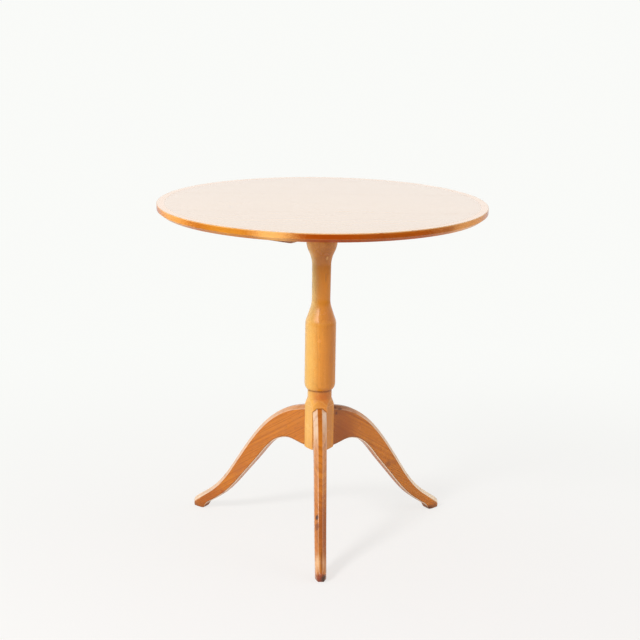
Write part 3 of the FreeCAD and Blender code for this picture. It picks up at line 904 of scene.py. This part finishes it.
# Marks as (centre, stretch = one over the half sizes, colour, depth), in metres: knots, streaks and tints in
# the wood, and patches of painted light and shade, the painted ones noted where they stand
columnMarksAndPaintedLight = [
    # painted light on the lit left of the barrel
    ((-0.028, -0.014, 0.330), (34, 26, 3.6), (0.79, 0.51, 0.125), 0.65),
    # painted shade on the barrel's right
    ((0.016, -0.021, 0.350), (42, 40, 3.6), (0.54, 0.165, 0.008), 0.75),
    # painted light on the neck's left
    ((-0.019, -0.006, 0.488), (54, 50, 9), (0.97, 0.66, 0.25), 0.90),
    # painted shade on the flare, in the table top's shadow
    ((0.005, -0.019, 0.552), (36, 45, 15), (0.33, 0.080, 0.002), 0.75),
    # painted shade on the collar's front, under the barrel's foot
    ((0.006, -0.0235, 0.274), (36, 50, 60), (0.50, 0.115, 0.001), 0.80),
    # painted shade on the neck's front, in the table top's shadow
    ((0.003, -0.018, 0.484), (60, 50, 15), (0.86, 0.285, 0.010), 0.65),
    # painted light on the hub's lit left faces
    ((-0.026, -0.016, 0.210), (45, 45, 15), (0.86, 0.48, 0.110), 0.60),
    ((-0.0154, -0.0209, 0.5648), (420, 420, 420), (0.20, 0.06, 0.015), 0.60),
    ((-0.0004, -0.0250, 0.5582), (420, 420, 420), (0.20, 0.06, 0.015), 0.60),
    ((0.0145, -0.0216, 0.5653), (420, 420, 420), (0.20, 0.06, 0.015), 0.60),
    ((0.0094, -0.0177, 0.5434), (330, 330, 220), (0.82, 0.45, 0.120), 0.50),
    ((0.0080, -0.0163, 0.5050), (600, 300, 82), (0.36, 0.11, 0.015), 0.35),
    ((-0.0015, -0.0295, 0.3780), (900, 400, 90), (0.42, 0.13, 0.016), 0.35),
    ((0.0180, -0.0233, 0.3470), (700, 400, 85), (0.42, 0.13, 0.016), 0.35),
]
legMarksAndPaintedLight = [
    ((0.0320, 0.0046, 0.2464), (210, 210, 240), (0.13, 0.036, 0.012), 0.80),
    ((0.0322, 0.0048, 0.2344), (300, 300, 240), (0.13, 0.036, 0.012), 0.80),
    ((0.0400, 0.0092, 0.2412), (150, 150, 420), (0.13, 0.036, 0.012), 0.75),
    # painted shade at the right leg's root, by the hub
    ((0.0480, 0.0200, 0.2450), (17, 17, 45), (0.20, 0.062, 0.020), 0.75),
    # painted shade under the right leg's root
    ((0.0460, 0.0125, 0.1950), (22, 22, 16), (0.32, 0.070, 0.004), 0.80),
    ((0.1678, 0.0830, 0.1196), (120, 120, 190), (0.22, 0.060, 0.012), 0.60),
    ((0.1391, 0.0665, 0.1123), (130, 130, 150), (0.22, 0.060, 0.012), 0.55),
    ((0.1540, 0.0750, 0.1150), (60, 60, 160), (0.36, 0.095, 0.016), 0.45),
    ((-0.0066, -0.1959, 0.0931), (260, 190, 190), (0.07, 0.025, 0.018), 0.95),
    ((-0.0066, -0.2069, 0.0791), (220, 120, 120), (0.18, 0.050, 0.016), 0.75),
    # painted shade on the front leg's upper face near the root
    ((0.0000, -0.0450, 0.2450), (140, 12, 26), (0.38, 0.080, 0.001), 0.85),
    # painted shade on the lower front leg, most on its right
    ((0.0050, -0.2150, 0.0760), (62, 9, 10), (0.28, 0.062, 0.006), 0.85),
    # painted shade along the ridge of the front toe
    ((0.0014, -0.2600, 0.0330), (420, 26, 32), (0.17, 0.034, 0.004), 0.95),
    # painted light on the front toe's lit left side
    ((-0.0075, -0.2620, 0.0330), (120, 45, 45), (0.90, 0.58, 0.30), 0.60),
    # painted light on the front toe's right side
    ((0.0075, -0.2620, 0.0300), (140, 45, 45), (0.72, 0.36, 0.15), 0.45),
    ((-0.0010, -0.2830, 0.0070), (82, 82, 82), (0.24, 0.045, 0.012), 0.95),
    # painted shade under the front toe
    ((0.0080, -0.2830, 0.0060), (120, 90, 110), (0.045, 0.022, 0.010), 0.95),
    # painted shade under the right leg's heel
    ((0.2260, 0.1190, 0.0010), (60, 60, 110), (0.045, 0.014, 0.010), 0.95),
    # painted shade on the left leg's lower run
    ((-0.1533, 0.0747, 0.0949), (36, 36, 22), (0.42, 0.12, 0.018), 0.45),
    ((-0.1894, 0.0955, 0.0417), (160, 160, 160), (0.34, 0.06, 0.012), 0.50),
    # painted shade on the left foot
    ((-0.2200, 0.1080, 0.0250), (20, 20, 26), (0.35, 0.083, 0.006), 0.75),
]
lippingPaintedLight = [
    # painted highlight on the rim's left front
    ((-0.175, -0.255, 0.639), (11, 11, 14), (0.60, 0.225, 0.020), 0.90),
    # painted light on the rim's left end
    ((-0.275, -0.143, 0.639), (12, 10, 14), (0.84, 0.37, 0.070), 0.85),
    # painted shade on the rim's front middle
    ((0.010, -0.310, 0.637), (14, 40, 40), (0.33, 0.045, 0.000), 0.80),
    # painted highlight on the rim's front, left of middle
    ((-0.095, -0.295, 0.637), (16, 40, 30), (0.90, 0.46, 0.130), 0.85),
    # painted light on the rim's right end
    ((0.260, -0.165, 0.638), (9, 8, 14), (0.84, 0.38, 0.120), 0.90),
    # painted shade on the rim's front, right of middle
    ((0.090, -0.297, 0.637), (30, 30, 60), (0.30, 0.05, 0.005), 0.50),
    # painted shade on the rim's right front
    ((0.215, -0.223, 0.638), (40, 40, 80), (0.30, 0.06, 0.006), 0.45),
]
faceMarks = [
    ((-0.170, -0.0558, 0.645), (260, 120, 300), (0.24, 0.14, 0.07), 0.60),
    ((-0.111, -0.0837, 0.645), (300, 140, 300), (0.28, 0.17, 0.08), 0.45),
    ((0.084, -0.2419, 0.645), (50, 260, 300), (0.40, 0.22, 0.09), 0.40),
    ((0.2157, -0.1558, 0.645), (14, 28, 300), (0.40, 0.25, 0.11), 0.35),
]

columnWood = makeWood("columnWood", columnLook, columnMarksAndPaintedLight)
legWood = makeWood("legWood", legLook, legMarksAndPaintedLight)
lippingWood = makeWood("lippingWood", lippingLook, lippingPaintedLight)
faceVeneer = makeWood("faceVeneer", faceLook, faceMarks)
backVeneer = makeWood("backVeneer", backLook)
bearerTurn = math.radians(234)
lowerBearerWood = makeWood("lowerBearerWood", {**bearerLook, "grainTurn": -bearerTurn}, ownGrain=False)
crossTurn = bearerTurn + math.pi / 2
upperBearerWood = makeWood("upperBearerWood", {**bearerLook, "grainTurn": -crossTurn}, ownGrain=False)

# Hidden pieces: core panel, dowels and wedge, bare wood
bareLook = {
    "figure": {"Dark": (0.42, 0.27, 0.13), "Middle": (0.56, 0.38, 0.20), "Pale": (0.66, 0.48, 0.28),
               "Ring Spacing": 0.006, "Pith": (0, 0.05, 0.03), "Wander": 0.012, "Contrast": 0.8,
               "Flecks": 0.4},
    "aged": {"Mottle": 0.2, "Gloss": 0.6},
    "bump": 0.3, "shader": {"IOR": 1.45}, "grainTurn": 0.0,
}
coreWood = makeWood("coreWood", bareLook, ownGrain=False)
dowelWood = makeWood("dowelWood", {**bareLook, "bump": 0.2}, ownGrain=False)
wedgeWood = makeWood("wedgeWood", {**bareLook, "bump": 0.4}, ownGrain=False)


steelLook = {
    "bright": (0.42, 0.40, 0.37),
    "dull": (0.17, 0.10, 0.06),
    "patchScale": 260.0,
    "patchEdge": (0.42, 0.68),
    "scratches": (2600, 300, 300),
    "scratchBump": 0.2,
    "relief": 0.0002,
    "rough": (0.32, 0.62),
    "metallic": (1.0, 0.4),
}


# Screw steel: fine scratches one way, dulled by a brown film in patches.
def makeSteel(name, look):
    material, tree, shader = newMaterial(name)
    place = addNode(tree, "ShaderNodeTexCoord").outputs["Object"]
    patch = smoothStep(tree, noise(tree, place, 3.0, 0.6, look["patchScale"])[0], *look["patchEdge"])
    scratch = noise(tree, vectorCalc(tree, "MULTIPLY", {0: place, 1: look["scratches"]})[0])[0]
    between = lambda first, second: calc(tree, "MULTIPLY_ADD", patch, second - first, first)
    setInputs(tree, shader, {
        "Base Color": mixColour(tree, patch, look["bright"], look["dull"]),
        "Roughness": between(*look["rough"]), "Metallic": between(*look["metallic"]),
        "Normal": bumped(tree, scratch, look["scratchBump"], look["relief"])})
    return material


screwSteel = makeSteel("screwSteel", steelLook)
print("materials made:", len(bpy.data.materials))


# Every piece takes its finish, its body and the node that it stands for

def dress(piece, material, slot, *standsFor):
    piece.data.materials.clear()
    piece.data.materials.append(material)
    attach(piece, "root")
    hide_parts(*standsFor)


for count, leaf in enumerate(faceLeaves, 1):
    dress(leaf, faceVeneer, "face_veneer", f"face_veneer_{count}")
for count, leaf in enumerate(backLeaves, 1):
    dress(leaf, backVeneer, "back_veneer", f"back_veneer_{count}")
for count, length in enumerate(lippings, 1):
    dress(length, lippingWood, "lipping_wood", f"edge_lipping_{count}")
dress(column, columnWood, "column_wood", "column")
for side, leg in legs.items():
    dress(leg, legWood, "leg_wood", f"leg_{side.lower()}")

cadFinish = {
    "bearer_lower": lowerBearerWood, "bearer_upper": upperBearerWood, "bearer_screws": screwSteel,
    "top_core": coreWood, "tenon_wedge": wedgeWood, "leg_dowels_front": dowelWood,
    "leg_dowels_right": dowelWood, "leg_dowels_left": dowelWood,
}
for label, material in cadFinish.items():
    cadNodes[label].data.materials.clear()
    cadNodes[label].data.materials.append(material)

# Bearers keep their CAD solids, with the arrises taken off
bearerEase = {"width": 0.0012, "segments": 3, "angle": math.radians(40), "weld": 1e-5}
for label in ("bearer_lower", "bearer_upper"):
    bar = cadNodes[label]
    bar.modifiers.new("weld", "WELD").merge_threshold = bearerEase["weld"]
    bevel = bar.modifiers.new("arris", "BEVEL")
    bevel.width, bevel.segments = bearerEase["width"], bearerEase["segments"]
    bevel.limit_method, bevel.angle_limit = "ANGLE", bearerEase["angle"]
    bevel.use_clamp_overlap = True
    bar.modifiers.new("normals", "WEIGHTED_NORMAL")


# Floor, light and camera

stageLook = {
    "floorRadius": 2.2,
    "floorLevel": -0.0003,
    "floorRings": 11,
    "floorSteps": 96,
    "floorSpread": 1.3,
    "paper": {"Roughness": 0.9, "Specular IOR Level": 0.1},
    "paperTooth": 900.0,
    "paperBump": 0.05,
    "paperRelief": 0.0003,
    "fadeCentre": (0.1, -0.7, 0.0),
    "fadeReach": (0.0, 2.2),
    "floor": (0.94, 0.93, 0.92),
    "floorWhite": (0.908, 0.886, 0.870),
    "floorHold": 0.72,
    "background": (0.952, 0.96, 0.938),
    "ambient": (0.52, 0.52, 0.52),
    "mirrorTurn": 98.0,
    "mirrorReach": (-0.3, 0.0),
    "mirrorNarrow": 4.0,
    "mirrorRise": (0.02, 0.2),
    "mirrorCeiling": (0.35, 0.85),
    "ceilingShare": 0.3,
    "mirrorBright": 1.0,
    "mirrorDark": 0.15,
}


# Floor disc: rings of radius by turn, closed at the middle. The camera sees the paper mixed with its own
# white, which fades into the background's colour, and sees through the disc from below.
def makeFloor(look):
    rows, columns = look["floorRings"], look["floorSteps"]
    radius = np.linspace(0, 1, rows + 1)[1:, None] ** look["floorSpread"] * look["floorRadius"]
    turn = np.linspace(0, 2 * math.pi, columns, endpoint=False)[None, :]
    level = np.full((rows, columns), look["floorLevel"])
    rings = np.stack([radius * np.cos(turn), radius * np.sin(turn), level], -1).reshape(-1, 3)
    mesh = bpy.data.meshes.new("floor")
    mesh.from_pydata(rings.tolist(), [], gridQuads(rows, columns)[:, ::-1].tolist() + [list(range(columns))])
    floor = bpy.data.objects.new("floor", mesh)
    scene.collection.objects.link(floor)
    material, tree, shader = newMaterial("floorPaper")
    place = addNode(tree, "ShaderNodeTexCoord").outputs["Object"]
    tooth = noise(tree, place, 2.0, 0.5, look["paperTooth"])[0]
    bump = bumped(tree, tooth, look["paperBump"], look["paperRelief"])
    setInputs(tree, shader, {"Base Color": look["floor"], "Normal": bump, **look["paper"]})
    seen = addNode(tree, "ShaderNodeLightPath").outputs["Is Camera Ray"]
    reach = vectorCalc(tree, "DISTANCE", {0: place, 1: look["fadeCentre"]})["Value"]
    behind = addNode(tree, "ShaderNodeNewGeometry").outputs["Backfacing"]
    layers = [
        (look["floorHold"], addNode(tree, "ShaderNodeEmission", {"Color": look["floorWhite"]})),
        (smoothStep(tree, reach, *look["fadeReach"]),
         addNode(tree, "ShaderNodeEmission", {"Color": look["background"]})),
        (behind, addNode(tree, "ShaderNodeBsdfTransparent")),
    ]
    shown = shader.outputs[0]
    for share, layer in layers:
        share = calc(tree, "MULTIPLY", share, seen)
        shown = addNode(tree, "ShaderNodeMixShader", {0: share, 1: shown, 2: layer.outputs[0]}).outputs[0]
    setInputs(tree, tree.get_output_node("ALL"), {"Surface": shown})
    mesh.materials.append(material)


# World: a plain white for the camera, even light for matt surfaces, and for gloss a bright wall behind the
# table that ends at a darker room.
def makeWorld(look):
    world = bpy.data.worlds.new("studio")
    world.use_nodes = True
    tree = world.node_tree
    tree.nodes.clear()
    light = addNode(tree, "ShaderNodeLightPath").outputs
    towards = addNode(tree, "ShaderNodeTexCoord").outputs["Generated"]
    turn = math.radians(look["mirrorTurn"])
    wallSide = (math.cos(turn), math.sin(turn), 0)
    facing = vectorCalc(tree, "DOT_PRODUCT", {0: towards, 1: wallSide})["Value"]
    rise = addNode(tree, "ShaderNodeSeparateXYZ", {0: towards}).outputs["Z"]
    lowered = calc(tree, "MULTIPLY_ADD", calc(tree, "MINIMUM", rise, 0.0), look["mirrorNarrow"], facing)
    wall = calc(tree, "MAXIMUM", smoothStep(tree, lowered, *look["mirrorReach"]),
                smoothStep(tree, rise, *look["mirrorRise"]))
    ceiling = smoothStep(tree, rise, *look["mirrorCeiling"], 1.0, look["ceilingShare"])
    wall = calc(tree, "MULTIPLY", wall, ceiling)
    mirror = calc(tree, "MULTIPLY_ADD", wall, look["mirrorBright"] - look["mirrorDark"], look["mirrorDark"])
    mirrored = addNode(tree, "ShaderNodeCombineColor", {0: mirror, 1: mirror, 2: mirror}).outputs[0]
    glossy = calc(tree, "MAXIMUM", light["Is Glossy Ray"], light["Is Transmission Ray"])
    shown = mixColour(tree, glossy, look["ambient"], mirrored)
    shown = mixColour(tree, light["Is Camera Ray"], shown, look["background"])
    back = addNode(tree, "ShaderNodeBackground", {"Color": shown, "Strength": 1.0})
    out = addNode(tree, "ShaderNodeOutputWorld")
    tree.links.new(back.outputs[0], out.inputs["Surface"])
    scene.world = world


# Lamps as (turn round the table, height angle, distance, width, height, watts).
# A softbox lights the surfaces and a panel shows only in their gloss.
lamps = {
    "keySoftbox": (227.0, 34.0, 4.2, 0.9, 0.9, 128.0),
    "keyPanel": (227.0, 30.5, 2.6, 1.8, 0.5, 33.0),
    "fillSoftbox": (350.0, 22.0, 2.6, 2.0, 1.5, 14.0),
    "backPanel": (88.0, 21.0, 3.2, 5.0, 1.0, 10.6),
}
lampAim = Vector((0, 0, 0.35))


def makeLamp(name, turn, rise, distance, width, height, watts):
    turn, rise = math.radians(turn), math.radians(rise)
    away = Vector((math.cos(turn) * math.cos(rise), math.sin(turn) * math.cos(rise), math.sin(rise)))
    light = bpy.data.lights.new(name, "AREA")
    light.shape, light.size, light.size_y, light.energy = "RECTANGLE", width, height, watts
    lamp = bpy.data.objects.new(name, light)
    lamp.location = lampAim + away * distance
    lamp.rotation_euler = (-away).to_track_quat("-Z", "Y").to_euler()
    lamp.visible_camera = False
    lamp.visible_diffuse, lamp.visible_glossy = name.endswith("Softbox"), name.endswith("Panel")
    scene.collection.objects.link(lamp)


# Camera: the view runs along +Y and down, turned a little and rolled as the photograph is
viewpoint = {
    "place": (-0.08985, -3.38624, 1.22764),
    "down": 13.4183,
    "turn": 1.4948,
    "roll": 0.8934,
    "lens": 103.05,
    "sensor": 36.0,
}


def makeCamera(view):
    data = bpy.data.cameras.new("camera")
    data.lens, data.sensor_width, data.sensor_fit = view["lens"], view["sensor"], "AUTO"
    camera = bpy.data.objects.new("camera", data)
    turn = Matrix.Rotation(-math.radians(view["turn"]), 4, "Z")
    tilt = Matrix.Rotation(math.pi / 2 - math.radians(view["down"]), 4, "X")
    roll = Matrix.Rotation(math.radians(view["roll"]), 4, "Z")
    camera.matrix_world = Matrix.Translation(view["place"]) @ turn @ tilt @ roll
    scene.collection.objects.link(camera)
    scene.camera = camera


makeFloor(stageLook)
makeWorld(stageLook)
for label, values in lamps.items():
    makeLamp(label, *values)
makeCamera(viewpoint)
scene.view_settings.view_transform = "Standard"
print("stage made:", len(lamps), "lamps")
